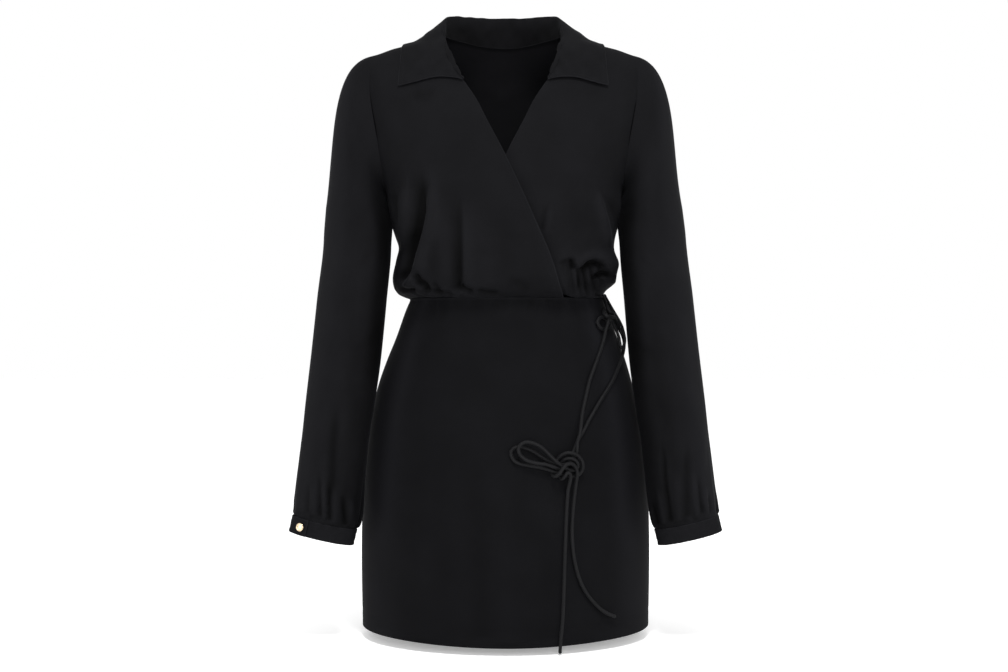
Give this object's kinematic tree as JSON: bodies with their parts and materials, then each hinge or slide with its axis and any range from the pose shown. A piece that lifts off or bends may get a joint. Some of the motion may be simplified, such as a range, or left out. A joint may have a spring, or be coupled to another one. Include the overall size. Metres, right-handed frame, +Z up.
{
  "type": "wrap dress",
  "caption": "Short black wrap dress with shirt collar, crossed blouson bodice, long gathered sleeves with buttoned cuffs, slim skirt and a rope tie in a bow; worn and hollow.",
  "frame": {"origin": "midway between the two neck points, where the shoulder seams meet the collar, at the height where the wearer's shoulders hold the dress", "axes": "+Z up, +X to the wearer's left, -Y to the wearer's front"},
  "size_m": [0.5679, 0.292, 0.8524],
  "materials": {
    "bodice_crepe": "matt black crepe",
    "skirt_crepe": "matt black crepe, slightly denser",
    "rope": "twisted black rope cord",
    "gold_button": "satin pale gold"
  },
  "bodies": {
    "root": {"bodice_front_right": "bodice_crepe", "bodice_front_left": "bodice_crepe", "bodice_back": "bodice_crepe", "collar": "bodice_crepe", "sleeve_right": "bodice_crepe", "sleeve_left": "bodice_crepe", "cuff_right": "bodice_crepe", "cuff_left": "bodice_crepe", "cuff_button_right": "gold_button", "cuff_button_left": "gold_button", "skirt_front": "skirt_crepe", "skirt_back": "skirt_crepe", "tie_strand_front": "rope", "tie_strand_side": "rope", "tie_loop_front": "rope", "tie_loop_back": "rope", "tie_tail_long": "rope", "tie_tail_curved": "rope", "tie_waist_knot": "rope", "tie_bow_knot": "rope"}
  },
  "joints": []
}
